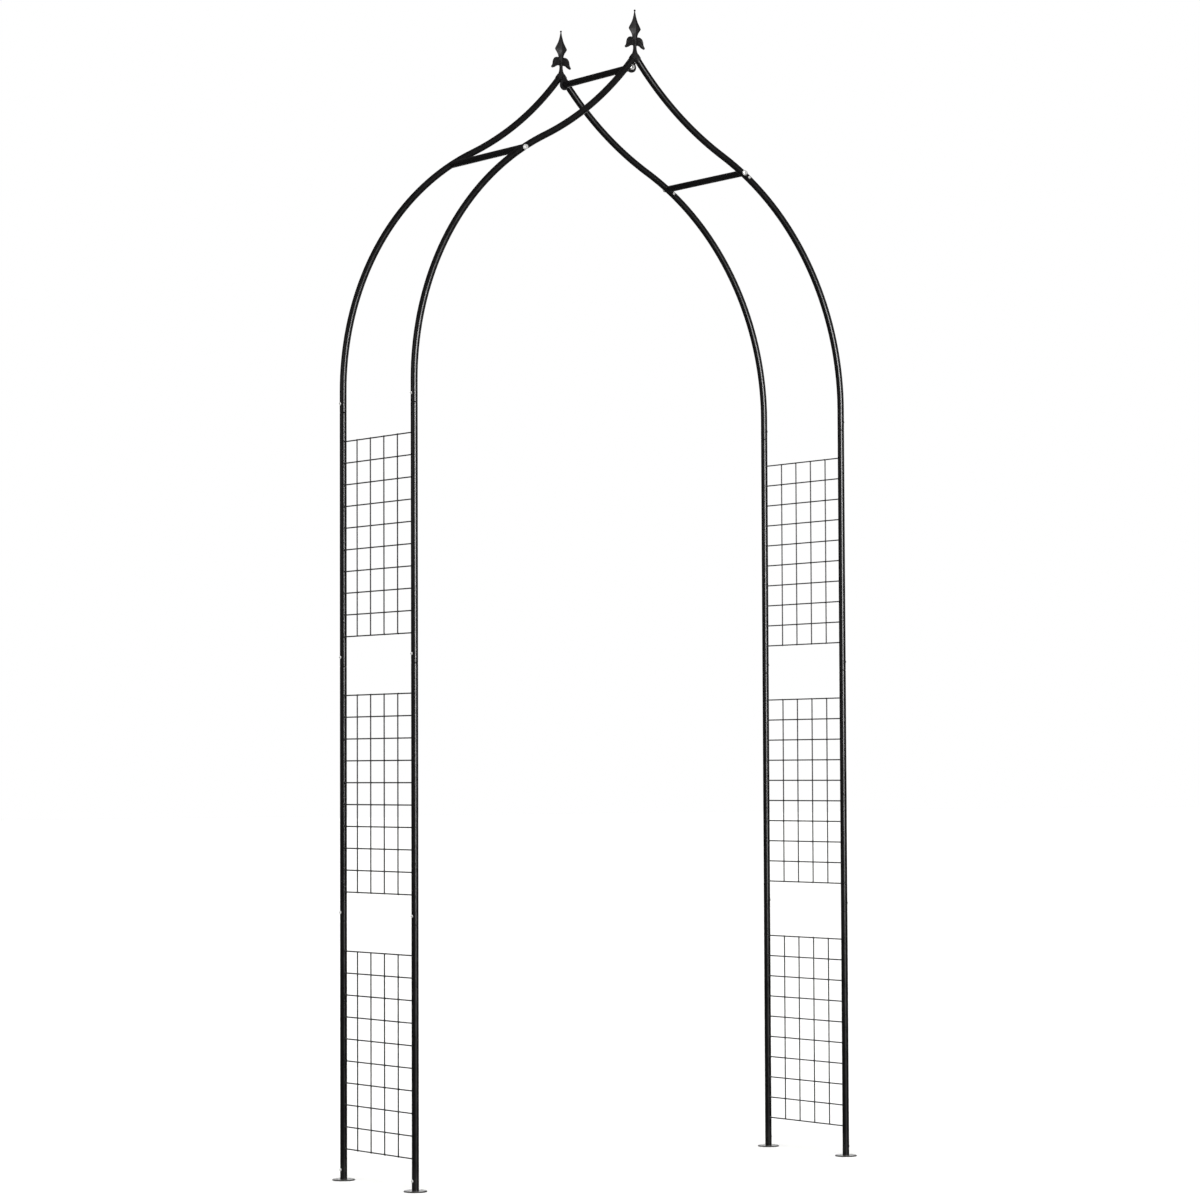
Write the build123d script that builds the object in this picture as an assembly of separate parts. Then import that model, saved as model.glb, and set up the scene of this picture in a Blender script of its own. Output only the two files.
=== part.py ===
from build123d import *
from math import asin, cos, degrees, pi, radians, sin
import os

# A free-standing garden arch of steel tube: two pointed (ogee) arch frames, one behind
# the other, joined by ladder-like mesh panels up each side and by three cross bars.
# X runs across the path, Y along it, Z up. The origin is on the ground, in the middle.
# All sizes are in millimetres.

# Overall layout
ARCH_WIDTH = 1240.0          # left post to right post, centre to centre
ARCH_DEPTH = 300.0           # front arch to rear arch, centre to centre
SECTION_HEIGHT = 585.0       # one straight post section, joint to joint
SECTION_COUNT = 3
FIRST_JOINT_Z = 590.0        # top of the lowest post section

# Tube and its plug-in joints
TUBE_R = 8.0
BORE_R = 6.8
SPIGOT_R = 6.7               # swaged end, a sliding fit in the bore
SPIGOT_BORE_R = 5.6
SPIGOT_LENGTH = 45.0
SHOULDER_R = 7.3             # small land that the next tube sits on
NECK_LENGTH = 2.0            # cone from the full tube down to the land
WEB_BORE_R = 5.0             # inside of the web that carries a curved tube's spigot
JOINT_SCREW_OFFSET = 20.0    # screw above the joint line

# Curved tubes
SPRING_Z = 1810.0            # where the straight leg starts to bend
SHOULDER_BEND_R = 660.0      # lower, outward-swelling arc
CROWN_BEND_R = 780.0         # upper, hollow arc of the ogee
INFLECTION_DEG = 27.0        # slope of the tube where the two arcs meet
JOINT_DEG = 31.8             # slope at the joint between springer and crown tube
CROWN_TUBE_END_X = 8.0       # crown tubes stop this far from the middle

# Feet
FLANGE_R = 26.0
FLANGE_T = 3.0
FOOT_SPIGOT_BORE_R = 5.2
FOOT_SPIGOT_TOP = 38.0
FOOT_SCREW_Z = 24.0
PEG_HOLE_R = 3.0
PEG_HOLE_SPACING = 34.0

# Mesh panels
WIRE_R = 1.5
CELL_HEIGHT = 50.0
ROWS = 10
UPRIGHTS = 4
PANEL_BOTTOM_ABOVE_SECTION = 67.0

# Cross bars and their fasteners
SHOULDER_BAR_X = 320.0
APEX_BAR_Z = 2586.0
COPE_R = 8.15                # hollow cut in a bar's end to seat on the arch tube
COPE_REACH = 3.0             # how far the coped end stops short of the tube's centre
COPE_LENGTH = 40.0           # length of the cutter for the hollow
PLUG_R = 6.75
PLUG_LENGTH = 18.0
PLUG_GAP = 0.5               # shoulder plugs sit this far back from the arch tube
BOLT_R = 2.95
BOLT_HOLE_R = 3.2
BOLT_GRIP = 16.0             # how far a bolt reaches past what it clamps
THREAD_R = 3.0
HEAD_ACROSS_FLATS = 10.0
HEAD_T = 4.0
HEAD_TOP_R = 4.4             # flat top inside the chamfered corners
HEAD_CHAMFER_T = 0.7
WASHER_R = 6.2
WASHER_T = 1.2

# Self-tapping screws
SCREW_R = 1.75
SCREW_HOLE_R = 1.85
SCREW_LENGTH = 7.0
SCREW_POINT_T = 1.6              # tapered tip
SCREW_HEAD_R = 3.5
SCREW_HEAD_T = 2.3
SCREW_CROWN_R = 2.0              # flat top of the rounded head
RECESS_LENGTH = 3.6              # cross recess in the head
RECESS_WIDTH = 0.8
RECESS_T = 1.0
WALL_DEPTH = 5.0                 # deep enough to pass one side of both nested tubes
SHOULDER_SCREW_OFFSET = 32.0     # along the springer, from its joint with the crown tube
CROWN_SCREW_OFFSET = 13.0        # along the crown tube, from its top end

# Apex fitting and finial
COLLAR_R = 9.2
COLLAR_LENGTH = 11.0
APEX_SPIGOT_R = 6.2
APEX_SPIGOT_LENGTH = 22.0
FITTING_HEIGHT = 14.0
FITTING_CONE = 7.0           # height of the cone under the finial's stem
LUG_SETBACK = 14.0           # middle of the lug, inwards from the plane of its arch
LUG_T = 5.0
LUG_R = 12.5
LUG_SHOULDER_WIDTH = 21.0
LUG_SHOULDER_Z = 2598.0
LUG_NECK_WIDTH = 10.0
LUG_NECK_BOTTOM_Z = 2600.5   # just above the ends of the crown tubes
LUG_NECK_TOP_Z = 2606.0
STEM_BASE_Z = 2618.0
STEM_PROFILE = [             # radius, height above the stem's base
    (6.4, 0), (5.9, 1.5), (5.0, 5), (4.3, 9), (4.1, 14), (4.7, 18), (5.8, 22), (6.0, 30),
]
BAND_R = 6.9
BAND_HEIGHT = 5.0
BAND_Z = 24.0
SPEAR_SECTIONS = [           # height above the stem's base, half width, half thickness
    (30.0, 6.4, 4.4),
    (38.0, 7.8, 4.8),
    (43.0, 8.8, 5.0),
    (49.0, 12.2, 5.2),
    (57.5, 17.8, 5.4),
    (67.0, 12.6, 4.8),
    (79.0, 6.9, 3.6),
    (91.0, 3.3, 2.4),
    (99.0, 1.9, 1.6),
]
TIP_BALL_R = 2.4
TIP_BALL_Z = 100.6
LEAF_T = 4.4
LEAF_TOP_EDGE = [(3, 36), (9, 38), (14.5, 37.7), (20, 35), (23.2, 29.5), (24, 23.5), (27, 16)]
LEAF_LOWER_EDGE = [(24, 10.8), (18.5, 12.6), (13, 16.3), (8, 17.2), (3, 15.5)]
LEAF_BALL_R = 3.3
LEAF_BALL_AT = (25.6, 13.3)

POST_X = ARCH_WIDTH / 2
ARCH_Y = ARCH_DEPTH / 2
APEX_BAR_HALF_LENGTH = ARCH_Y - LUG_SETBACK - LUG_T / 2
WIRE_SPACING = (ARCH_DEPTH - 2 * TUBE_R) / (UPRIGHTS + 1)
BEND_CENTRE = Vector(POST_X - SHOULDER_BEND_R, 0, SPRING_Z)
SIDES = {"left": -1, "right": 1}
FACES = {"front": -1, "rear": 1}
LEVELS = ["lower", "middle", "upper"]


def bend_point(slope_deg):
    """Point on the lower arc of the right-hand leg where the tube has this slope."""
    turn = radians(90 - slope_deg)
    return BEND_CENTRE + SHOULDER_BEND_R * Vector(cos(turn), 0, sin(turn))


INFLECTION = bend_point(INFLECTION_DEG)
CROWN_CENTRE = INFLECTION + (INFLECTION - BEND_CENTRE).normalized() * CROWN_BEND_R
CROWN_END_DEG = degrees(asin((CROWN_CENTRE.X - CROWN_TUBE_END_X) / CROWN_BEND_R))
BAR_DEG = degrees(asin(1 - (POST_X - SHOULDER_BAR_X) / SHOULDER_BEND_R))


def crown_point(slope_deg):
    """Point on the upper arc of the right-hand leg where the tube has this slope."""
    turn = radians(90 - slope_deg)
    return CROWN_CENTRE - CROWN_BEND_R * Vector(cos(turn), 0, sin(turn))


def heading(slope_deg):
    """Direction of the right-hand leg towards the apex, at this slope."""
    return Vector(-cos(radians(slope_deg)), 0, sin(radians(slope_deg)))


def slope_along_bend(slope_deg, distance):
    """Slope at a point this far down the lower arc from the given slope."""
    return slope_deg + degrees(distance / SHOULDER_BEND_R)


def place(shape, side, face):
    """Move a piece modelled on the right-hand leg in the plane Y = 0 to its own leg."""
    if side < 0:
        shape = mirror(shape, Plane.YZ)
    return Pos(0, face * ARCH_Y, 0) * shape


def revolved(points):
    """Solid of revolution about Z from a closed outline of (radius, height) points."""
    outline = make_face(Plane.XZ * Polyline(*points, close=True))
    return revolve(outline, Axis.Z)


def rod(start, direction, radius, length):
    """Round bar from a point along a direction."""
    plane = Plane(origin=start, z_dir=direction)
    return extrude(plane * Circle(radius), length)


def arc_on_bend(from_deg, to_deg):
    """Piece of the lower arc's centre line between two slopes."""
    middle = bend_point((from_deg + to_deg) / 2)
    return ThreePointArc(bend_point(from_deg), middle, bend_point(to_deg))


def arc_on_crown(from_deg, to_deg):
    """Piece of the upper arc's centre line between two slopes."""
    middle = crown_point((from_deg + to_deg) / 2)
    return ThreePointArc(crown_point(from_deg), middle, crown_point(to_deg))


def swept_tube(pieces, outer_r, inner_r):
    """Hollow tube along a chain of tangent lines and arcs that ends square."""
    tube = None
    for path in pieces:
        plane = Plane(origin=path @ 0, z_dir=path % 0)
        length = sweep(plane * Circle(outer_r), path=path)
        length -= sweep(plane * Circle(inner_r), path=path)
        tube = length if tube is None else tube + length
    return tube


def screw_hole(at, outward, depth=WALL_DEPTH):
    """Cutter for a self-tapping screw, this far in from the surface of a tube."""
    start = at + outward * (TUBE_R + 1)
    return rod(start, outward * -1, SCREW_HOLE_R, depth + 1)


def screw(at, outward):
    """Pan-head self-tapping screw seated on the tube whose axis passes the given point."""
    outline = [
        (0, SCREW_HEAD_T), (SCREW_CROWN_R, SCREW_HEAD_T), (SCREW_HEAD_R - 0.4, 1.4), (SCREW_HEAD_R, 0.6),
        (SCREW_HEAD_R, 0), (SCREW_R, 0), (SCREW_R, SCREW_POINT_T - SCREW_LENGTH), (0, -SCREW_LENGTH),
    ]
    body = revolved(outline)
    for turn in (0, 90):
        body -= Pos(0, 0, SCREW_HEAD_T) * Rot(0, 0, turn) * Box(RECESS_LENGTH, RECESS_WIDTH, 2 * RECESS_T)
    seat = Plane(origin=at + outward * TUBE_R, z_dir=outward)
    return seat * body


def hex_bolt(seat_point, outward, length):
    """Hexagon-head bolt: its head rests at the seat point and its shank runs inwards."""
    plane = Plane(origin=seat_point, x_dir=(1, 0, 0), z_dir=outward)
    corner_r = HEAD_ACROSS_FLATS / 2 / cos(pi / 6)
    hexagon = extrude(plane * RegularPolygon(corner_r, 6), HEAD_T)
    chamfered = plane * revolved([
        (0, 0), (corner_r, 0), (corner_r, HEAD_T - HEAD_CHAMFER_T), (HEAD_TOP_R, HEAD_T), (0, HEAD_T)])
    shank = rod(seat_point, outward * -1, BOLT_R, length)
    return (hexagon & chamfered) + shank


def foot_flange():
    """Round floor plate with a stub that the post slides over and two peg holes."""
    foot = revolved([
        (0, 0), (FLANGE_R, 0), (FLANGE_R, FLANGE_T - 0.8), (FLANGE_R - 0.8, FLANGE_T),
        (SPIGOT_R, FLANGE_T), (SPIGOT_R, FOOT_SPIGOT_TOP - 1), (SPIGOT_R - 0.6, FOOT_SPIGOT_TOP),
        (FOOT_SPIGOT_BORE_R, FOOT_SPIGOT_TOP), (FOOT_SPIGOT_BORE_R, FLANGE_T), (0, FLANGE_T),
    ])
    for direction in (-1, 1):
        foot -= Pos(direction * PEG_HOLE_SPACING / 2, 0, FLANGE_T / 2) * Cylinder(PEG_HOLE_R, FLANGE_T * 2)
    foot -= screw_hole(Vector(0, 0, FOOT_SCREW_Z), Vector(1, 0, 0))
    return Pos(POST_X, 0, 0) * foot


def post_section(bottom, top, screw_height):
    """Straight tube: open socket at the bottom, swaged spigot at the top."""
    tube = revolved([
        (BORE_R, bottom), (TUBE_R, bottom), (TUBE_R, top - NECK_LENGTH), (SHOULDER_R, top),
        (SPIGOT_R, top), (SPIGOT_R, top + SPIGOT_LENGTH), (SPIGOT_BORE_R, top + SPIGOT_LENGTH),
        (SPIGOT_BORE_R, top - NECK_LENGTH), (BORE_R, top - 2 * NECK_LENGTH),
    ])
    outward = Vector(1, 0, 0)
    tube -= screw_hole(Vector(0, 0, screw_height), outward)
    tube -= screw_hole(Vector(0, 0, top + JOINT_SCREW_OFFSET), outward)
    return Pos(POST_X, 0, 0) * tube


def mesh_panel(bottom, side):
    """Welded wire panel between the front and rear posts of one side."""
    wires = []
    x = side * POST_X
    length = ARCH_DEPTH - 2 * TUBE_R
    for row in range(ROWS):
        start = Vector(x, -length / 2, bottom + row * CELL_HEIGHT)
        wires.append(rod(start, Vector(0, 1, 0), WIRE_R, length))
    height = (ROWS - 1) * CELL_HEIGHT + 2 * WIRE_R
    outer_x = x + side * 2 * WIRE_R
    for column in range(UPRIGHTS):
        y = (column - (UPRIGHTS - 1) / 2) * WIRE_SPACING
        start = Vector(outer_x, y, bottom - WIRE_R)
        wires.append(rod(start, Vector(0, 0, 1), WIRE_R, height))
    return Compound(wires)


def springer(side):
    """Curved tube from the top of a post to the shoulder joint, open at both ends."""
    bottom_z = FIRST_JOINT_Z + (SECTION_COUNT - 1) * SECTION_HEIGHT
    straight = Line((POST_X, 0, bottom_z), (POST_X, 0, SPRING_Z))
    tube = swept_tube([straight, arc_on_bend(90, JOINT_DEG)], TUBE_R, BORE_R)
    tube -= screw_hole(Vector(POST_X, 0, bottom_z + JOINT_SCREW_OFFSET), Vector(1, 0, 0))
    return tube - shoulder_cutters(side)


def crown_tube(side):
    """Upper ogee tube: swaged spigot at the shoulder, open end at the apex."""
    main = swept_tube(
        [arc_on_bend(JOINT_DEG, INFLECTION_DEG), arc_on_crown(INFLECTION_DEG, CROWN_END_DEG)], TUBE_R, BORE_R)
    spigot_end = slope_along_bend(JOINT_DEG, SPIGOT_LENGTH)
    spigot_root = slope_along_bend(JOINT_DEG, -NECK_LENGTH / 2)
    spigot = swept_tube([arc_on_bend(spigot_end, spigot_root)], SPIGOT_R, SPIGOT_BORE_R)
    root_plane = Plane(origin=bend_point(JOINT_DEG), z_dir=heading(JOINT_DEG))
    root_web = extrude(root_plane * (Circle(SHOULDER_R) - Circle(WEB_BORE_R)), NECK_LENGTH)
    tube = main + spigot + root_web
    crown_screw = crown_point(CROWN_END_DEG) - heading(CROWN_END_DEG) * CROWN_SCREW_OFFSET
    tube -= screw_hole(crown_screw, Vector(0, 1, 0))
    return tube - shoulder_cutters(side)


def shoulder_screw_outward(side):
    """Way the shoulder's small screw faces: forwards on the right, backwards on the left."""
    return Vector(0, -side, 0)


def shoulder_cutters(side):
    """Holes through the shoulder joint for the cross-bar bolt and the small screw."""
    bolt_axis = bend_point(BAR_DEG) - Vector(0, 2 * TUBE_R, 0)
    cutters = rod(bolt_axis, Vector(0, 1, 0), BOLT_HOLE_R, 4 * TUBE_R)
    screw_slope = slope_along_bend(JOINT_DEG, SHOULDER_SCREW_OFFSET)
    return cutters + screw_hole(bend_point(screw_slope), shoulder_screw_outward(side))


def block(width, from_y, to_y, bottom, top):
    """Upright block in the middle of the arch."""
    return Pos(0, (from_y + to_y) / 2, (bottom + top) / 2) * Box(width, abs(to_y - from_y), top - bottom)


def apex_lug(inward):
    """Flat lug behind an arch's point that the apex cross bar is bolted to."""
    near = inward.Y * (LUG_SETBACK - LUG_T / 2)
    far = inward.Y * (LUG_SETBACK + LUG_T / 2)
    lug = rod(Vector(0, near, APEX_BAR_Z), inward, LUG_R, LUG_T)
    lug += block(LUG_SHOULDER_WIDTH, near, far, APEX_BAR_Z, LUG_SHOULDER_Z)
    lug += block(LUG_NECK_WIDTH, near, far, APEX_BAR_Z, LUG_NECK_TOP_Z)
    lug += block(LUG_NECK_WIDTH, 0, far, LUG_NECK_BOTTOM_Z, LUG_NECK_TOP_Z)
    return lug - rod(Vector(0, 0, APEX_BAR_Z), inward, BOLT_HOLE_R, 2 * LUG_SETBACK)


def apex_fitting(face):
    """Cast joint that the two crown tubes plug into, with a lug for the apex cross bar."""
    base_z = STEM_BASE_Z - FITTING_HEIGHT
    body = revolved([
        (0, base_z), (COLLAR_R, base_z), (COLLAR_R, STEM_BASE_Z - FITTING_CONE),
        (STEM_PROFILE[0][0], STEM_BASE_Z), (0, STEM_BASE_Z),
    ])
    tube_end = crown_point(CROWN_END_DEG)
    towards_apex = heading(CROWN_END_DEG)
    arm = rod(tube_end, towards_apex, COLLAR_R, COLLAR_LENGTH)
    arm += rod(tube_end, towards_apex * -1, APEX_SPIGOT_R, APEX_SPIGOT_LENGTH)
    crown_screw = tube_end - towards_apex * CROWN_SCREW_OFFSET
    arm -= screw_hole(crown_screw, Vector(0, 1, 0), SCREW_LENGTH + 1)
    return body + arm + mirror(arm, Plane.YZ) + apex_lug(Vector(0, -face, 0))


def finial():
    """Spear point on a turned stem, with a tie band and a pair of drooping leaves."""
    stem = revolved([(0, 0), *STEM_PROFILE, (0, STEM_PROFILE[-1][1])])
    spear = loft([
        Pos(0, 0, height) * diamond(half_width, half_thickness)
        for height, half_width, half_thickness in SPEAR_SECTIONS
    ], ruled=True)
    band = Pos(0, 0, BAND_Z) * Cylinder(BAND_R, BAND_HEIGHT)
    leaf = finial_leaf()
    tip = Pos(0, 0, TIP_BALL_Z) * Sphere(TIP_BALL_R)
    whole = stem + spear + band + leaf + mirror(leaf, Plane.YZ) + tip
    return Pos(0, 0, STEM_BASE_Z) * whole


def diamond(half_width, half_thickness):
    """Four-sided section with its long diagonal across the path."""
    corners = [(half_width, 0), (0, half_thickness), (-half_width, 0), (0, -half_thickness)]
    return make_face(Polyline(*corners, close=True))


def finial_leaf():
    """One leaf: out from the stem, drooping, and ending in a ball."""
    top_edge = Spline(*LEAF_TOP_EDGE)
    lower_edge = Spline(*LEAF_LOWER_EDGE)
    ends = [Line(top_edge @ 1, lower_edge @ 0), Line(lower_edge @ 1, top_edge @ 0)]
    blade = extrude(Plane.XZ * make_face([top_edge, lower_edge, *ends]), LEAF_T / 2, both=True)
    ball_x, ball_z = LEAF_BALL_AT
    return blade + Pos(ball_x, 0, ball_z) * Sphere(LEAF_BALL_R)


def tube_bar(centre, half_length):
    """Round cross bar along Y."""
    start = centre - Vector(0, half_length, 0)
    along = Vector(0, 1, 0)
    return rod(start, along, TUBE_R, 2 * half_length) - rod(start, along, BORE_R, 2 * half_length)


def shoulder_bar(side):
    """Cross bar with both ends hollowed to seat on the arch tubes."""
    centre = bend_point(BAR_DEG)
    along_tube = heading(BAR_DEG)
    bar = tube_bar(centre, ARCH_Y - COPE_REACH)
    for face in FACES.values():
        start = centre + Vector(0, face * ARCH_Y, 0) - along_tube * (COPE_LENGTH / 2)
        bar -= rod(start, along_tube, COPE_R, COPE_LENGTH)
    return mirror(bar, Plane.YZ) if side < 0 else bar


def threaded_plug(seat_point, inward):
    """Threaded insert pressed into the end of a cross bar."""
    return rod(seat_point, inward, PLUG_R, PLUG_LENGTH) - rod(seat_point, inward, THREAD_R, PLUG_LENGTH)


def washer(seat_point, outward):
    """Flat washer under a bolt head."""
    return rod(seat_point, outward, WASHER_R, WASHER_T) - rod(seat_point, outward, BOLT_HOLE_R, WASHER_T)


def bar_fasteners():
    """Bolts, washers and threaded plugs of the three cross bars, by node name."""
    shoulder_bolts, apex_bolts, washers, plugs = [], [], [], []
    shoulder = bend_point(BAR_DEG)
    for face in FACES.values():
        outward = Vector(0, face, 0)
        for side in SIDES.values():
            axis = Vector(side * shoulder.X, 0, shoulder.Z)
            seat = axis + outward * (ARCH_Y + TUBE_R)
            plug_end = axis + outward * (ARCH_Y - TUBE_R - PLUG_GAP)
            washers.append(washer(seat, outward))
            shoulder_bolts.append(hex_bolt(seat + outward * WASHER_T, outward, 2 * TUBE_R + BOLT_GRIP))
            plugs.append(threaded_plug(plug_end, outward * -1))
        seat = Vector(0, 0, APEX_BAR_Z) + outward * (ARCH_Y - LUG_SETBACK + LUG_T / 2)
        washers.append(washer(seat, outward))
        apex_bolts.append(hex_bolt(seat + outward * WASHER_T, outward, LUG_T + BOLT_GRIP))
        plug_end = Vector(0, 0, APEX_BAR_Z) + outward * APEX_BAR_HALF_LENGTH
        plugs.append(threaded_plug(plug_end, outward * -1))
    return {
        "shoulder_bolts": shoulder_bolts,
        "apex_bolts": apex_bolts,
        "bar_bolt_washers": washers,
        "bar_end_plugs": plugs,
    }


def tube_screws():
    """The small screws of the plug-in joints, by node name."""
    groups = {"foot_screws": [], "post_joint_screws": [], "shoulder_screws": [], "crown_screws": []}
    outward = Vector(1, 0, 0)
    screw_slope = slope_along_bend(JOINT_DEG, SHOULDER_SCREW_OFFSET)
    crown_at = crown_point(CROWN_END_DEG) - heading(CROWN_END_DEG) * CROWN_SCREW_OFFSET
    for side in SIDES.values():
        for face in FACES.values():
            foot = screw(Vector(POST_X, 0, FOOT_SCREW_Z), outward)
            groups["foot_screws"].append(place(foot, side, face))
            for level in range(SECTION_COUNT):
                height = FIRST_JOINT_Z + level * SECTION_HEIGHT + JOINT_SCREW_OFFSET
                joint = screw(Vector(POST_X, 0, height), outward)
                groups["post_joint_screws"].append(place(joint, side, face))
            shoulder = screw(bend_point(screw_slope), shoulder_screw_outward(side))
            groups["shoulder_screws"].append(place(shoulder, side, face))
            groups["crown_screws"].append(place(screw(crown_at, Vector(0, 1, 0)), side, face))
    return groups


def build_nodes():
    """Every node of the arch, by name."""
    nodes = {}
    sections = []
    for level in range(SECTION_COUNT):
        top = FIRST_JOINT_Z + level * SECTION_HEIGHT
        bottom = FLANGE_T if level == 0 else top - SECTION_HEIGHT
        screw_height = FOOT_SCREW_Z if level == 0 else bottom + JOINT_SCREW_OFFSET
        sections.append(post_section(bottom, top, screw_height))
    foot = foot_flange()
    for side_name, side in SIDES.items():
        lower_curve, upper_curve = springer(side), crown_tube(side)
        for face_name, face in FACES.items():
            leg = f"{face_name}_{side_name}"
            nodes[f"foot_flange_{leg}"] = place(foot, side, face)
            for level_name, section in zip(LEVELS, sections):
                nodes[f"post_{level_name}_{leg}"] = place(section, side, face)
            nodes[f"springer_tube_{leg}"] = place(lower_curve, side, face)
            nodes[f"crown_tube_{leg}"] = place(upper_curve, side, face)
        for level, level_name in enumerate(LEVELS):
            section_bottom = FIRST_JOINT_Z + (level - 1) * SECTION_HEIGHT
            bottom = section_bottom + PANEL_BOTTOM_ABOVE_SECTION
            nodes[f"mesh_panel_{level_name}_{side_name}"] = mesh_panel(bottom, side)
        nodes[f"shoulder_bar_{side_name}"] = shoulder_bar(side)
    for face_name, face in FACES.items():
        nodes[f"apex_fitting_{face_name}"] = Pos(0, face * ARCH_Y, 0) * apex_fitting(face)
        nodes[f"finial_{face_name}"] = Pos(0, face * ARCH_Y, 0) * finial()
    nodes["apex_bar"] = tube_bar(Vector(0, 0, APEX_BAR_Z), APEX_BAR_HALF_LENGTH)
    for name, solids in (bar_fasteners() | tube_screws()).items():
        nodes[name] = Compound(solids)
    return nodes


os.makedirs("parts", exist_ok=True)
for node_name, shape in build_nodes().items():
    export_step(shape, f"parts/{node_name}.step")
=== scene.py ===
import math
import random

import bmesh
import bpy
from mathutils import Matrix, Vector


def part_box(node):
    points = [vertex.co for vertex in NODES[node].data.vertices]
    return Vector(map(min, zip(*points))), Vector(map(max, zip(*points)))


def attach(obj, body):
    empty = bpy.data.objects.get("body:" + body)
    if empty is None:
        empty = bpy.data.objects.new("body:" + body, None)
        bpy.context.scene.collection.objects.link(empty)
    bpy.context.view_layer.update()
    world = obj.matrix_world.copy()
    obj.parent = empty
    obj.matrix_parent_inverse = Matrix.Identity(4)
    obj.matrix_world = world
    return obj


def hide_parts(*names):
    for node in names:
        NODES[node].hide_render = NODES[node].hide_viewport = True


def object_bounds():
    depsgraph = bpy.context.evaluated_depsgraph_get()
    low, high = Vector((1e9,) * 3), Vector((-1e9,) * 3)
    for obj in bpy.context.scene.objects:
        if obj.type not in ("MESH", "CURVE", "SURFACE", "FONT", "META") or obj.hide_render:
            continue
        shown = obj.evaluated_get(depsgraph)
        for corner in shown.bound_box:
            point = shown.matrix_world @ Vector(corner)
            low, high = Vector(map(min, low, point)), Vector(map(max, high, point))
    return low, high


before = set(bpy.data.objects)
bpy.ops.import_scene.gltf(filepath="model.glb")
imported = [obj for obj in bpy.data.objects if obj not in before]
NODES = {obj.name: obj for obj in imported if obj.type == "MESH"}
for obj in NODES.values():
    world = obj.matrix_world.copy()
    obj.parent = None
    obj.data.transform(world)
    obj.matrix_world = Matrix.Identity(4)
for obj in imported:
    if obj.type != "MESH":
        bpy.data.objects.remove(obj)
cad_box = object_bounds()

# A pointed garden arch of black steel tube with wire trellis panels. Everything is in metres, in the frame of
# the CAD model: X across the path, Y along it, Z up from the ground. Left is -X and the front is -Y.
MM = 0.001
ACROSS = Vector((1, 0, 0))
ALONG = Vector((0, 1, 0))
UP = Vector((0, 0, 1))

SIDES = {"left": -1, "right": 1}
FACES = ("front", "rear")
LEVELS = ("lower", "middle", "upper")

# Camera: in front of the arch and to its left, at a third of its height. Lens and sensor are in millimetres.
CAMERA_AT = Vector((-5.105, -7.041, 0.926))
CAMERA_AZIMUTH = math.radians(35.95)
CAMERA_PITCH = math.radians(2.70)
CAMERA_ROLL = math.radians(-0.23)
CAMERA_LENS = 110.3
SENSOR_WIDTH = 36.0


# ---------------------------------------------------------------- materials

# The Mix node's colour sockets share their names with its other sockets, so they are found by number.
MIX_FACTOR = 0
MIX_COLOURS = (6, 7)
MIX_RESULT = 2

# Colours are linear. Lengths are in metres, like the object coordinates that the patterns follow.
SPECK_COLOUR = (0.045, 0.045, 0.046)
DUST_COLOUR = (0.20, 0.195, 0.185)
DUST_TOP = 60 * MM
# Painted shade: a near-black band at each post joint stands in for the shadow in the gap between the tube
# ends.
SEAM_SHADE_COLOUR = (0.002, 0.002, 0.002)
SEAM_SHADE_HALF_WIDTH = 0.9 * MM
POST_JOINTS = [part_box(node + "front_left")[0][2]
               for node in ("post_middle_", "post_upper_", "springer_tube_")]


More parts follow.
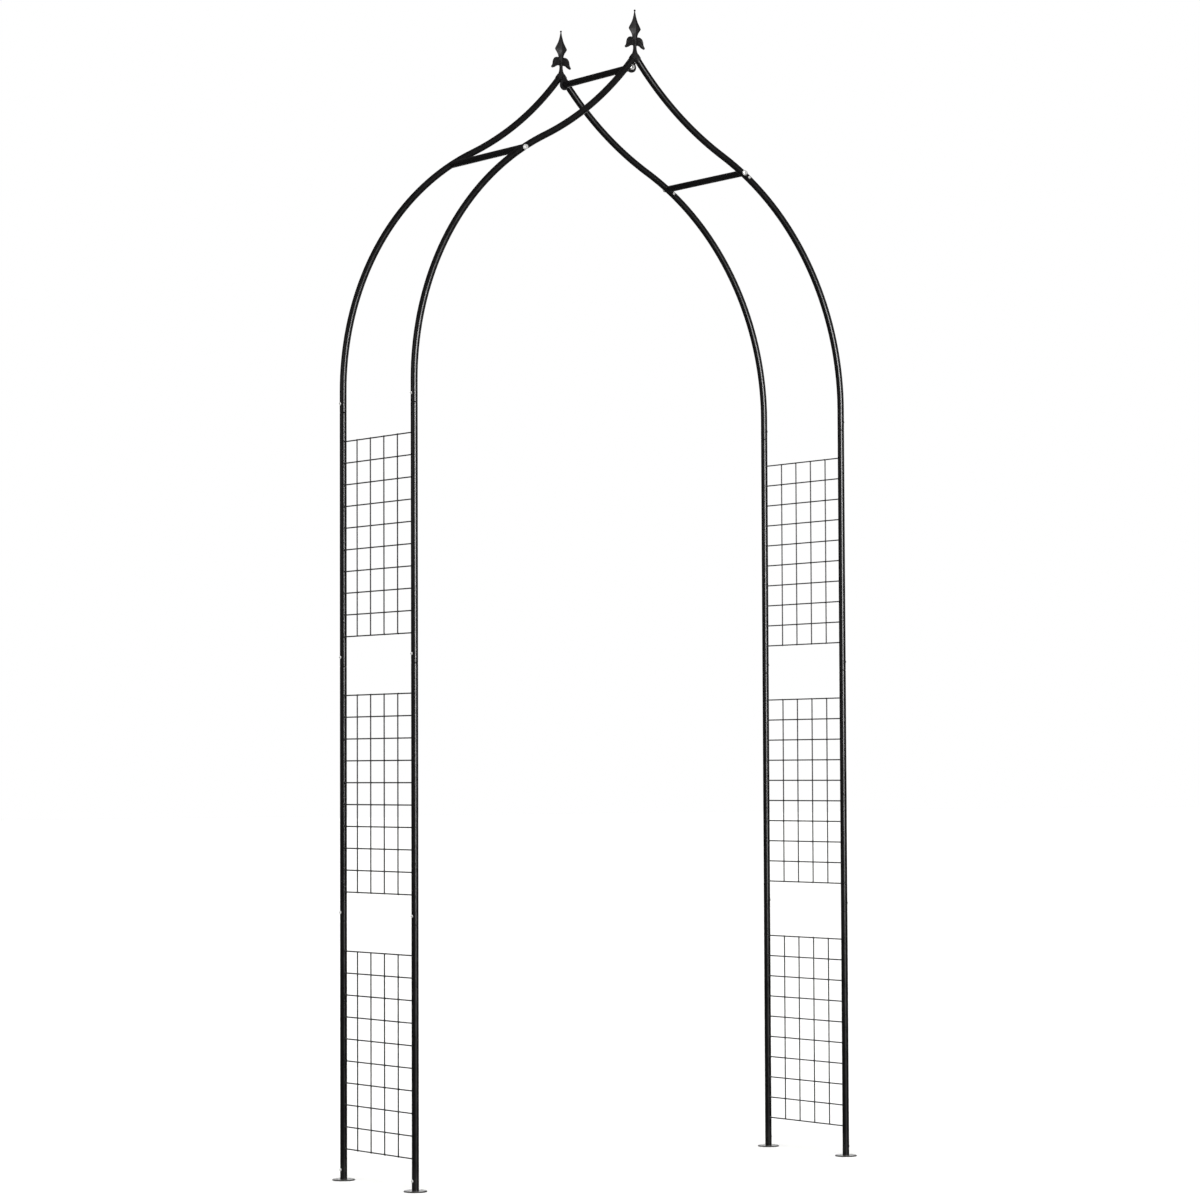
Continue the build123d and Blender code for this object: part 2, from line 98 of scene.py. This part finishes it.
class NodeGraph:
    """A material's node tree with short ways to add and join nodes."""

    def __init__(self, name):
        self.material = bpy.data.materials.new(name)
        self.material.use_nodes = True
        self.tree = self.material.node_tree
        self.shader = self.tree.nodes["Principled BSDF"]
        self.place = self.tree.nodes.new("ShaderNodeTexCoord").outputs["Object"]

    def feed(self, node, socket, value):
        """Give a socket a number, a colour or another node's output."""
        if isinstance(value, bpy.types.NodeSocket):
            self.tree.links.new(value, node.inputs[socket])
        elif isinstance(value, tuple):
            node.inputs[socket].default_value = (*value, 1.0)
        else:
            node.inputs[socket].default_value = value

    def node(self, kind, **inputs):
        """Add a node and feed its sockets; an underscore stands for the space in a socket's name."""
        made = self.tree.nodes.new(kind)
        for name, value in inputs.items():
            self.feed(made, name.replace("_", " "), value)
        return made

    def noise(self, scale, detail=2.0):
        """Cloudy 0..1 pattern; a larger scale is a finer grain."""
        return self.node("ShaderNodeTexNoise", Vector=self.place, Scale=scale, Detail=detail).outputs["Fac"]

    def spread(self, value, low, high, start=0.3, stop=0.7):
        """Map the stretch of a value from start to stop to the numbers from low to high."""
        return self.node("ShaderNodeMapRange", Value=value, From_Min=start, From_Max=stop,
                         To_Min=low, To_Max=high).outputs["Result"]

    def blend(self, factor, first, second):
        """Mix two colours, each a tuple or another node's output."""
        made = self.tree.nodes.new("ShaderNodeMix")
        made.data_type = "RGBA"
        self.feed(made, MIX_FACTOR, factor)
        for socket, colour in zip(MIX_COLOURS, (first, second)):
            self.feed(made, socket, colour)
        return made.outputs[MIX_RESULT]

    def calculate(self, operation, *values):
        """Math node on numbers or other nodes' outputs."""
        made = self.tree.nodes.new("ShaderNodeMath")
        made.operation = operation
        for socket, value in enumerate(values):
            self.feed(made, socket, value)
        return made.outputs[0]

    def bump(self, height, strength, distance, under=None):
        """Surface relief from a pattern, on top of another relief if one is given."""
        made = self.node("ShaderNodeBump", Height=height, Strength=strength, Distance=distance)
        if under is not None:
            self.feed(made, "Normal", under)
        return made.outputs["Normal"]

    def height_above_ground(self):
        return self.node("ShaderNodeSeparateXYZ", Vector=self.place).outputs["Z"]

    def bands(self, heights, half_width):
        """1 within a narrow band round each height, 0 elsewhere."""
        above = self.height_above_ground()
        near = [self.calculate("COMPARE", above, height, half_width) for height in heights]
        total = near[0]
        for band in near[1:]:
            total = self.calculate("MAXIMUM", total, band)
        return total

    def finish(self, colour, roughness, normal):
        self.feed(self.shader, "Base Color", colour)
        self.feed(self.shader, "Roughness", roughness)
        self.feed(self.shader, "Normal", normal)
        return self.material


def powder_coat(name, dark, light, peel, specular, rough=(0.32, 0.42), dust=0.10, shaded_seam_heights=()):
    """Satin black powder coat: orange peel, cloudy gloss, fine specks, dust low down, and painted shade with
    dull gloss at the seams.
    """
    graph = NodeGraph(name)
    graph.shader.inputs["Specular IOR Level"].default_value = specular
    clouds = graph.spread(graph.noise(scale=9.0, detail=4.0), 0.0, 1.0)
    colour = graph.blend(clouds, dark, light)
    specks = graph.spread(graph.noise(scale=1400.0, detail=1.0), 0.0, 0.20, start=0.62, stop=0.78)
    colour = graph.blend(specks, colour, SPECK_COLOUR)
    near_ground = graph.spread(graph.height_above_ground(), dust, 0.0, start=0.0, stop=DUST_TOP)
    patches = graph.spread(graph.noise(scale=160.0, detail=5.0), 0.3, 1.0, start=0.42, stop=0.66)
    colour = graph.blend(graph.calculate("MULTIPLY", near_ground, patches), colour, DUST_COLOUR)
    roughness = graph.spread(graph.noise(scale=45.0, detail=3.0), *rough)
    # Painted shade at the post joints: the band is coloured near-black for the shadow in the gap between tube
    # ends, and its full roughness dulls the gloss there.
    if shaded_seam_heights:
        seam_shade = graph.bands(shaded_seam_heights, SEAM_SHADE_HALF_WIDTH)
        colour = graph.blend(seam_shade, colour, SEAM_SHADE_COLOUR)
        roughness = graph.calculate("MAXIMUM", roughness, seam_shade)
    waves = graph.bump(graph.noise(scale=90.0, detail=1.0), strength=0.10, distance=0.4 * MM)
    normal = graph.bump(graph.noise(scale=650.0), strength=peel, distance=0.15 * MM, under=waves)
    return graph.finish(colour, roughness, normal)


def cast_paint(name):
    """Black paint over the slightly sandy skin of a small iron casting."""
    graph = NodeGraph(name)
    graph.shader.inputs["Specular IOR Level"].default_value = 0.14
    clouds = graph.spread(graph.noise(scale=60.0, detail=4.0), 0.0, 1.0)
    colour = graph.blend(clouds, (0.0075, 0.0069, 0.0072), (0.0170, 0.0160, 0.0166))
    roughness = graph.spread(graph.noise(scale=220.0, detail=3.0), 0.42, 0.56)
    sand = graph.bump(graph.noise(scale=260.0, detail=3.0), strength=0.30, distance=0.25 * MM)
    normal = graph.bump(graph.noise(scale=1500.0), strength=0.25, distance=0.08 * MM, under=sand)
    return graph.finish(colour, roughness, normal)


def zinc_plate(name):
    """Bright zinc on bolts, washers, plugs and screws, a little cloudy and scuffed."""
    graph = NodeGraph(name)
    graph.shader.inputs["Metallic"].default_value = 0.45
    clouds = graph.spread(graph.noise(scale=350.0, detail=3.0), 0.0, 1.0)
    colour = graph.blend(clouds, (0.78, 0.775, 0.76), (0.90, 0.90, 0.89))
    roughness = graph.spread(graph.noise(scale=700.0, detail=3.0), 0.22, 0.34)
    normal = graph.bump(graph.noise(scale=1800.0), strength=0.10, distance=0.05 * MM)
    return graph.finish(colour, roughness, normal)


def weld_coat(name):
    """Powder coat over rippled weld metal."""
    graph = NodeGraph(name)
    graph.shader.inputs["Specular IOR Level"].default_value = 0.35
    clouds = graph.spread(graph.noise(scale=400.0), 0.0, 1.0)
    colour = graph.blend(clouds, (0.010, 0.010, 0.0105), (0.020, 0.020, 0.0205))
    roughness = graph.spread(graph.noise(scale=500.0), 0.34, 0.48)
    normal = graph.bump(graph.noise(scale=900.0), strength=0.5, distance=0.3 * MM)
    return graph.finish(colour, roughness, normal)


MATERIALS = {
    "tube": powder_coat("tube_powder_coat", (0.0028, 0.0025, 0.0026), (0.0052, 0.0047, 0.0049),
                        peel=0.14, specular=0.36, rough=(0.26, 0.34), shaded_seam_heights=POST_JOINTS),
    "wire": powder_coat("wire_powder_coat", (0.0120, 0.0118, 0.0122), (0.0220, 0.0218, 0.0224),
                        peel=0.20, specular=0.40),
    "plate": powder_coat("plate_powder_coat", (0.0100, 0.0096, 0.0098), (0.0180, 0.0176, 0.0178),
                         peel=0.16, specular=0.50, rough=(0.24, 0.36), dust=0.25),
    "casting": cast_paint("cast_paint"),
    "zinc": zinc_plate("zinc_plate"),
    "weld": weld_coat("weld_coat"),
}
# What the names of the nodes in each material start with; all the others are zinc.
NODE_MATERIALS = {
    "tube": ("post_lower_", "post_middle_", "post_upper_", "springer_", "crown_tube_", "shoulder_bar_",
             "apex_bar"),
    "wire": ("mesh_panel_",),
    "plate": ("foot_flange_",),
    "casting": ("apex_fitting_", "finial_"),
}


def dress_cad_nodes():
    """Give every CAD node the procedural material of its kind."""
    for name, node in NODES.items():
        kind = "zinc"
        for material, starts in NODE_MATERIALS.items():
            if name.startswith(starts):
                kind = material
        for material_slot in node.material_slots:
            material_slot.material = MATERIALS[kind]


# ---------------------------------------------------------------- mesh helpers

def add_rings(bm, rings):
    """Skin a chain of closed rings of points with quads and cap both ends."""
    made = [[bm.verts.new(point) for point in ring] for ring in rings]
    count = len(made[0])
    for first, second in zip(made, made[1:]):
        for i in range(count):
            j = (i + 1) % count
            bm.faces.new((first[i], first[j], second[j], second[i]))
    bm.faces.new(list(reversed(made[0])))
    bm.faces.new(made[-1])


def make_piece(name, bm, material):
    """Turn a bmesh into a smooth-shaded piece of the arch."""
    bmesh.ops.recalc_face_normals(bm, faces=bm.faces)
    mesh = bpy.data.meshes.new(name)
    bm.to_mesh(mesh)
    bm.free()
    for polygon in mesh.polygons:
        polygon.use_smooth = True
    mesh.materials.append(MATERIALS[material])
    piece = bpy.data.objects.new(name, mesh)
    bpy.context.collection.objects.link(piece)
    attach(piece, "root")
    return piece


def oval(centre, across, along, radius_a, radius_b, segments, power=1.0):
    """Closed ring of points: an ellipse, a diamond at a power of 2, and hollow-sided above that."""
    ring = []
    for i in range(segments):
        turn = 2 * math.pi * i / segments
        a = math.copysign(abs(math.cos(turn)) ** power, math.cos(turn))
        b = math.copysign(abs(math.sin(turn)) ** power, math.sin(turn))
        ring.append(centre + across * (radius_a * a) + along * (radius_b * b))
    return ring


def smooth_value(stops, x):
    """Smooth curve through (x, value) stops, flat at its turning points and ends."""
    if x <= stops[0][0]:
        return stops[0][1]
    slopes = [0.0] * len(stops)
    for i in range(1, len(stops) - 1):
        before = (stops[i][1] - stops[i - 1][1]) / (stops[i][0] - stops[i - 1][0])
        after = (stops[i + 1][1] - stops[i][1]) / (stops[i + 1][0] - stops[i][0])
        if before * after > 0:
            slopes[i] = 2 * before * after / (before + after)
    for i in range(len(stops) - 1):
        (x0, y0), (x1, y1) = stops[i], stops[i + 1]
        if x <= x1:
            t = (x - x0) / (x1 - x0)
            width = x1 - x0
            return ((2 * t**3 - 3 * t**2 + 1) * y0 + (t**3 - 2 * t**2 + t) * width * slopes[i]
                    + (3 * t**2 - 2 * t**3) * y1 + (t**3 - t**2) * width * slopes[i + 1])
    return stops[-1][1]


# ---------------------------------------------------------------- castings

# Finial sizes are in millimetres, and heights are above its base.
STEM_PROFILE = [      # radius, height
    (6.3, 0.0), (6.2, 0.8), (5.7, 2.0), (5.0, 4.5), (4.5, 7.5), (4.2, 11.0), (4.1, 14.0), (4.4, 17.0),
    (5.2, 20.0), (5.8, 23.0), (6.0, 30.0),
]
BAND_PROFILE = [      # radius, height
    (5.0, 21.3), (6.2, 21.4), (6.9, 22.2), (6.9, 23.1), (6.4, 23.8), (6.4, 24.4), (6.9, 25.1), (6.9, 26.0),
    (6.2, 26.8), (5.0, 26.9),
]
TURNING_SEGMENTS = 40

SPEAR_WIDTH = [       # height, half width
    (27, 5.6), (33, 6.6), (38, 7.6), (43, 8.9), (49, 12.2), (54.5, 16.4), (57.5, 17.8), (60.5, 16.7),
    (67, 12.8), (73, 9.3), (79, 6.7), (91, 3.2), (99, 1.8),
]
SPEAR_DEPTH = [       # height, half thickness
    (27, 4.6), (38, 4.9), (49, 5.3), (57.5, 5.6), (67, 5.0), (79, 3.8), (91, 2.5), (99, 1.6),
]
SPEAR_STEPS = 72
SPEAR_SEGMENTS = 48
SPEAR_BLADE_FROM = 30
SPEAR_BLADE_FULL = 44
SPEAR_ROUND_POWER = 1.0
SPEAR_BLADE_POWER_GAIN = 1.1
TIP_BALL_R = 2.4
TIP_BALL_Z = 100.6
BALL_STEPS = 12
BALL_SEGMENTS = 24

LEAF_TOP = [          # distance from the stem's axis, height
    (2, 35), (6, 37.2), (11, 38.2), (16, 37.3), (20, 34.9), (22.7, 31), (23.8, 26.5), (24.4, 21.5),
    (26.6, 16.8),
]
LEAF_FOOT = [
    (2, 16.2), (5.5, 17.3), (9, 17.1), (12, 16.4), (14.6, 15), (17, 13.4), (19.4, 12.1), (21.6, 11.3),
    (24, 10.8),
]
LEAF_STEPS = 40
LEAF_PROFILE = [      # share of the way from the top edge to the foot, half thickness
    (0.0, 0.0), (0.03, 1.5), (0.10, 2.5), (0.18, 2.3), (0.30, 1.1), (0.42, 0.9), (0.52, 1.6), (0.58, 2.0),
    (0.65, 1.6), (0.75, 1.0), (0.84, 1.3), (0.92, 2.1), (0.97, 1.4), (1.0, 0.0),
]
LEAF_THINNEST = 0.45
LEAF_THINNING_WIDTH = 22
LEAF_BALL_AT = (25.6, 13.3)
LEAF_BALL_R = 3.25

CAST_VOXEL = 0.4 * MM
CAST_SMOOTHING = 4
CAST_SMOOTHING_SHARE = 0.5
CAST_WELD_DISTANCE = 0.001 * MM


def add_ball(bm, centre, radius):
    """Rounded knob of stacked rings."""
    rings = []
    for i in range(1, BALL_STEPS):
        angle = math.pi * i / BALL_STEPS
        middle = centre - Vector((0, 0, radius * math.cos(angle)))
        rings.append(oval(middle, ACROSS, ALONG, radius * math.sin(angle), radius * math.sin(angle),
                          BALL_SEGMENTS))
    add_rings(bm, rings)


def add_turning(bm, origin, profile):
    """Turned shape about a vertical axis from (radius, height) points."""
    rings = [oval(origin + UP * (height * MM), ACROSS, ALONG, radius * MM, radius * MM, TURNING_SEGMENTS)
             for radius, height in profile]
    add_rings(bm, rings)


def add_spear(bm, origin):
    """Flat spear: round where it leaves the band, then a hollow-sided blade with a ridge, and a ball tip."""
    rings = []
    bottom, top = SPEAR_WIDTH[0][0], SPEAR_WIDTH[-1][0]
    for i in range(SPEAR_STEPS + 1):
        height = bottom + (top - bottom) * i / SPEAR_STEPS
        blade = min(1.0, max(0.0, (height - SPEAR_BLADE_FROM) / (SPEAR_BLADE_FULL - SPEAR_BLADE_FROM)))
        rings.append(oval(origin + UP * (height * MM), ACROSS, ALONG,
                          smooth_value(SPEAR_WIDTH, height) * MM, smooth_value(SPEAR_DEPTH, height) * MM,
                          SPEAR_SEGMENTS, SPEAR_ROUND_POWER + SPEAR_BLADE_POWER_GAIN * blade))
    add_rings(bm, rings)
    add_ball(bm, origin + UP * (TIP_BALL_Z * MM), TIP_BALL_R * MM)


def along_curve(points, share):
    """Point at a share of the way along a smooth curve through points that count as evenly spaced."""
    stops_x = [(i, x) for i, (x, _) in enumerate(points)]
    stops_z = [(i, z) for i, (_, z) in enumerate(points)]
    at = share * (len(points) - 1)
    return Vector((smooth_value(stops_x, at), 0, smooth_value(stops_z, at)))


def add_leaf(bm, origin, side):
    """Drooping leaf with a rolled rim, two hollows and a mid vein, ending in a ball."""
    rings = []
    for i in range(LEAF_STEPS + 1):
        share = i / LEAF_STEPS
        top = along_curve(LEAF_TOP, share)
        foot = along_curve(LEAF_FOOT, share)
        width = (foot - top).length
        fullness = min(1.0, LEAF_THINNEST + width / LEAF_THINNING_WIDTH)
        front = [(top.lerp(foot, across), thickness * fullness) for across, thickness in LEAF_PROFILE]
        back = [(point, -half) for point, half in front[-2:0:-1]]
        rings.append([origin + Vector((side * point.x, half, point.z)) * MM for point, half in front + back])
    add_rings(bm, rings)
    ball_x, ball_z = LEAF_BALL_AT
    add_ball(bm, origin + Vector((side * ball_x, 0, ball_z)) * MM, LEAF_BALL_R * MM)


def fuse_casting(piece):
    """Melt a piece's overlapping shapes into one skin with soft inside corners."""
    remesh = piece.modifiers.new("fuse", "REMESH")
    remesh.mode = "VOXEL"
    remesh.voxel_size = CAST_VOXEL
    relax = piece.modifiers.new("relax", "SMOOTH")
    relax.factor = CAST_SMOOTHING_SHARE
    relax.iterations = CAST_SMOOTHING
    depsgraph = bpy.context.evaluated_depsgraph_get()
    fused = bpy.data.meshes.new_from_object(piece.evaluated_get(depsgraph))
    piece.modifiers.clear()
    piece.data = fused
    for polygon in fused.polygons:
        polygon.use_smooth = True


def build_finial(face_name):
    """Fleur-de-lis finial: turned stem, tie band, ridged spear and two drooping leaves."""
    node = "finial_" + face_name
    low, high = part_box(node)
    origin = Vector(((low[0] + high[0]) / 2, (low[1] + high[1]) / 2, low[2]))
    bm = bmesh.new()
    add_turning(bm, origin, STEM_PROFILE)
    add_turning(bm, origin, BAND_PROFILE)
    add_spear(bm, origin)
    for side in SIDES.values():
        add_leaf(bm, origin, side)
    piece = make_piece("finial_cast_" + face_name, bm, "casting")
    fuse_casting(piece)
    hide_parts(node)


def build_apex_fitting(face_name):
    """The apex joint as a casting, with its corners softened."""
    node = "apex_fitting_" + face_name
    bm = bmesh.new()
    bm.from_mesh(NODES[node].data)
    bmesh.ops.remove_doubles(bm, verts=bm.verts, dist=CAST_WELD_DISTANCE)
    piece = make_piece("apex_casting_" + face_name, bm, "casting")
    fuse_casting(piece)
    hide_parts(node)


# ---------------------------------------------------------------- welds

PANEL_ROWS = 10
PANEL_UPRIGHTS = 4
BEAD_PROFILE = ((0.0, 1.0), (0.35, 0.86), (0.7, 0.55), (1.0, 0.12))   # share of the length, fullness
BEAD_LENGTH = 3.0 * MM
BEAD_SUNK = 0.8 * MM              # how far inside the post's wall a bead starts
BEAD_SIZE = 2.1                   # a bead's largest radius over the wire's
BEAD_SEGMENTS = 12
BEAD_WOBBLE = 0.10
NUGGET_PROFILE = ((-1.5, 0.35), (-0.9, 0.8), (0.0, 1.0), (0.9, 0.8), (1.5, 0.35))   # millimetres, fullness
NUGGET_RADIUS = (1.9, 2.3)        # millimetres, smallest and largest
NUGGET_SEGMENTS = 10


def add_bead(bm, centre, outward, wire_r, rng):
    """Small uneven fillet of weld round a wire, from inside the post's wall outward."""
    wobble = [rng.uniform(-BEAD_WOBBLE, BEAD_WOBBLE) for _ in range(BEAD_SEGMENTS)]
    rings = []
    for share, size in BEAD_PROFILE:
        middle = centre + outward * (BEAD_LENGTH * share)
        radius = wire_r + (BEAD_SIZE * wire_r - wire_r) * size
        ring = oval(middle, ACROSS, UP, 1.0, 1.0, BEAD_SEGMENTS)
        rings.append([middle + (point - middle) * radius * (1 + uneven * size)
                      for point, uneven in zip(ring, wobble)])
    add_rings(bm, rings)


def add_nugget(bm, centre, rng):
    """Pressed resistance weld where two wires cross."""
    wide = rng.uniform(*NUGGET_RADIUS) * MM
    tall = rng.uniform(*NUGGET_RADIUS) * MM
    rings = []
    for offset, size in NUGGET_PROFILE:
        middle = centre + Vector((offset * MM, 0, 0))
        rings.append(oval(middle, ALONG, UP, wide * size, tall * size, NUGGET_SEGMENTS))
    add_rings(bm, rings)


def weld_panel(level, side_name):
    """Weld beads on the posts and nuggets at the crossings of one trellis panel."""
    side = SIDES[side_name]
    rng = random.Random(f"{level}_{side_name}")
    low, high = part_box(f"mesh_panel_{level}_{side_name}")
    wire_r = (high[0] - low[0]) / 4
    inner_x = low[0] if side > 0 else high[0]
    row_x = inner_x + side * wire_r
    crossing_x = row_x + side * wire_r
    pitch = (high[2] - low[2] - 2 * wire_r) / (PANEL_ROWS - 1)
    spacing = (high[1] - low[1]) / (PANEL_UPRIGHTS + 1)
    bm = bmesh.new()
    for row in range(PANEL_ROWS):
        z = low[2] + wire_r + row * pitch
        for end, y in ((-1, low[1]), (1, high[1])):
            start = Vector((row_x, y + end * BEAD_SUNK, z))
            add_bead(bm, start, Vector((0, -end, 0)), wire_r, rng)
        for column in range(PANEL_UPRIGHTS):
            y = low[1] + (column + 1) * spacing
            add_nugget(bm, Vector((crossing_x, y, z)), rng)
    make_piece(f"panel_welds_{level}_{side_name}", bm, "weld")


# ---------------------------------------------------------------- stage

WHITE = (1.0, 1.0, 1.0, 1.0)
DIM_STUDIO = 0.06
ARCH_MIDDLE = (0.0, 0.0, 1.3)
FLOOR_HALF = 60.0
FLOOR_COLOUR = (0.88, 0.88, 0.87, 1.0)
FLOOR_ROUGHNESS = 0.9


def add_camera():
    data = bpy.data.cameras.new("camera")
    data.sensor_width = SENSOR_WIDTH
    data.lens = CAMERA_LENS
    camera = bpy.data.objects.new("camera", data)
    forward = Vector((math.sin(CAMERA_AZIMUTH) * math.cos(CAMERA_PITCH),
                      math.cos(CAMERA_AZIMUTH) * math.cos(CAMERA_PITCH), math.sin(CAMERA_PITCH)))
    turn = forward.to_track_quat("-Z", "Y").to_matrix().to_4x4()
    camera.matrix_world = Matrix.Translation(CAMERA_AT) @ turn @ Matrix.Rotation(CAMERA_ROLL, 4, "Z")
    bpy.context.collection.objects.link(camera)
    bpy.context.scene.camera = camera


def add_world():
    """White surroundings where they are seen, and a dim studio where they light the arch."""
    world = bpy.data.worlds.new("studio")
    bpy.context.scene.world = world
    world.use_nodes = True
    tree = world.node_tree
    dim = tree.nodes["Background"]
    dim.inputs["Color"].default_value = WHITE
    dim.inputs["Strength"].default_value = DIM_STUDIO
    white = tree.nodes.new("ShaderNodeBackground")
    white.inputs["Color"].default_value = WHITE
    white.inputs["Strength"].default_value = 1.0
    path = tree.nodes.new("ShaderNodeLightPath")
    mix = tree.nodes.new("ShaderNodeMixShader")
    tree.links.new(path.outputs["Is Camera Ray"], mix.inputs["Fac"])
    tree.links.new(dim.outputs[0], mix.inputs[1])
    tree.links.new(white.outputs[0], mix.inputs[2])
    tree.links.new(mix.outputs[0], tree.nodes["World Output"].inputs["Surface"])


def add_floor():
    """Plain pale floor, well past the arch on every side, that the metal doesn't mirror."""
    bm = bmesh.new()
    corners = [bm.verts.new((x * FLOOR_HALF, y * FLOOR_HALF, cad_box[0][2]))
               for x, y in ((-1, -1), (1, -1), (1, 1), (-1, 1))]
    bm.faces.new(corners)
    mesh = bpy.data.meshes.new("floor")
    bm.to_mesh(mesh)
    bm.free()
    material = bpy.data.materials.new("floor_pale")
    material.use_nodes = True
    shader = material.node_tree.nodes["Principled BSDF"]
    shader.inputs["Base Color"].default_value = FLOOR_COLOUR
    shader.inputs["Roughness"].default_value = FLOOR_ROUGHNESS
    shader.inputs["Specular IOR Level"].default_value = 0.0
    mesh.materials.append(material)
    floor = bpy.data.objects.new("floor", mesh)
    floor.visible_glossy = False
    bpy.context.collection.objects.link(floor)


def add_area_light(name, at, target, width, height, watts, glint_only=False):
    """Rectangular light that faces a target; a glint-only one adds shine but doesn't light matt surfaces."""
    data = bpy.data.lights.new(name, "AREA")
    data.shape = "RECTANGLE"
    data.size = width
    data.size_y = height
    data.energy = watts
    light = bpy.data.objects.new(name, data)
    light.location = at
    light.rotation_euler = (Vector(target) - Vector(at)).to_track_quat("-Z", "Y").to_euler()
    light.visible_diffuse = not glint_only
    bpy.context.collection.objects.link(light)


def add_dome_light():
    """Wide overhead light that whitens the floor evenly and isn't mirrored in the gloss of the tubes."""
    data = bpy.data.lights.new("dome", "SUN")
    data.energy = 4.0
    data.angle = math.radians(95)
    light = bpy.data.objects.new("dome", data)
    light.rotation_euler = (math.radians(14), math.radians(-10), 0)
    light.visible_glossy = False
    bpy.context.collection.objects.link(light)


def add_lights():
    """Bright line on the tubes from the front, grey sheen on the plates from behind, and soft fill."""
    add_area_light("front_strip", at=(-0.7, -5.2, 2.2), target=(0.0, 0.0, 2.2),
                   width=0.9, height=2.5, watts=460.0, glint_only=True)
    add_area_light("rear_panel", at=(4.1, 5.6, 1.65), target=(0.0, 0.0, 1.65),
                   width=6.0, height=3.0, watts=90.0, glint_only=True)
    add_area_light("left_softbox", at=(-5.2, -0.6, 2.6), target=ARCH_MIDDLE,
                   width=1.4, height=2.4, watts=14.0)
    add_area_light("right_softbox", at=(4.8, -1.6, 3.0), target=ARCH_MIDDLE,
                   width=1.0, height=2.4, watts=10.0)
    add_dome_light()


dress_cad_nodes()
for face_name in FACES:
    build_finial(face_name)
    build_apex_fitting(face_name)
for level in LEVELS:
    for side_name in SIDES:
        weld_panel(level, side_name)

add_camera()
add_world()
add_floor()
add_lights()
bpy.context.scene.view_settings.view_transform = "Standard"
